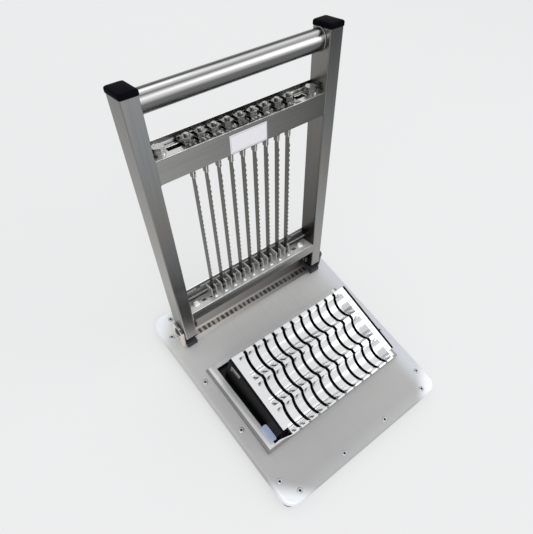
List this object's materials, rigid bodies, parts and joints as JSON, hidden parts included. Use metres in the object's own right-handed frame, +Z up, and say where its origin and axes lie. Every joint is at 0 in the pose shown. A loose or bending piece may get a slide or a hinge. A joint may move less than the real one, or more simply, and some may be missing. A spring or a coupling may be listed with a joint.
{
  "type": "sushi roll cutter",
  "caption": "Hand-operated roll cutter: a hinged frame of tensioned blades folds down over a slotted three-trough cradle on a flat deck.",
  "frame": {"origin": "on the surface that the rubber feet stand on, under the middle of the whole object's box with the frame leaning back", "axes": "+X to the right, along the hinge axis and the troughs; +Y to the back, where the frame is hinged; +Z up"},
  "size_m": [0.33, 0.422, 0.3602],
  "materials": {
    "deck_steel": "satin bead-blasted sheet",
    "rim_steel": "brushed front to back",
    "screw_steel": "bright plated",
    "bar_paint": "black",
    "foot_rubber": "matt black",
    "tray_black": "black",
    "cradle_steel": "bright polished",
    "support_black": "black",
    "clip_steel": "bright",
    "pad_plastic": "pale blue",
    "bracket_steel": "polished",
    "pivot_steel": "dark",
    "bush_bronze": "plain",
    "upright_steel": "satin",
    "cap_plastic": "black",
    "handle_steel": "brushed round",
    "member_steel": "satin",
    "bar_steel": "bright",
    "nut_steel": "bright plated",
    "blade_steel": "ground",
    "holder_steel": "dark"
  },
  "bodies": {
    "base": {"deck_plate": "deck_steel", "deck_screws": "screw_steel", "base_frame": "bar_paint", "base_feet": "foot_rubber", "foot_screws": "screw_steel", "well_tray": "tray_black", "well_rim": "rim_steel", "trough_fingers": "cradle_steel", "end_trough_left": "cradle_steel", "end_trough_right": "cradle_steel", "cradle_end_left": "support_black", "cradle_end_right": "support_black", "cradle_back_support": "support_black", "cradle_ridge_supports": "support_black", "cradle_front_wall": "cradle_steel", "cradle_clips": "clip_steel", "landing_pad_left": "pad_plastic", "landing_pad_right": "pad_plastic", "hinge_bracket": "bracket_steel", "stop_block_left": "foot_rubber", "stop_block_right": "foot_rubber", "pivot_bolt_left": "pivot_steel", "pivot_bolt_right": "pivot_steel", "pivot_nut_left": "pivot_steel", "pivot_nut_right": "pivot_steel"},
    "blade_frame": {"pivot_bush_left": "bush_bronze", "pivot_bush_right": "bush_bronze", "upright_left": "upright_steel", "upright_right": "upright_steel", "top_cap_left": "cap_plastic", "top_cap_right": "cap_plastic", "bottom_cap_left": "cap_plastic", "bottom_cap_right": "cap_plastic", "handle_tube": "handle_steel", "upper_channel": "member_steel", "upper_slot_plate": "bar_steel", "upper_end_bolts": "nut_steel", "member_end_nuts": "nut_steel", "tension_forks": "nut_steel", "tension_washers": "nut_steel", "tension_nuts": "nut_steel", "blade_1": "blade_steel", "blade_2": "blade_steel", "blade_3": "blade_steel", "blade_4": "blade_steel", "blade_5": "blade_steel", "blade_6": "blade_steel", "blade_7": "blade_steel", "blade_8": "blade_steel", "blade_9": "blade_steel", "blade_pins": "pivot_steel", "blade_spacers": "pivot_steel", "lower_channel": "member_steel", "lower_front_bar": "bar_steel", "lower_back_bar": "bar_steel", "lower_rod": "holder_steel", "lower_holders": "holder_steel", "lower_holder_screws": "nut_steel", "lower_end_bolts": "nut_steel"}
  },
  "joints": [
    {"name": "frame_swing", "type": "hinge", "parent": "base", "child": "blade_frame", "pos_m": [0, 0.09898, 0.0465], "axis": [1, 0, 0], "range_deg": [0, 107.5]}
  ]
}
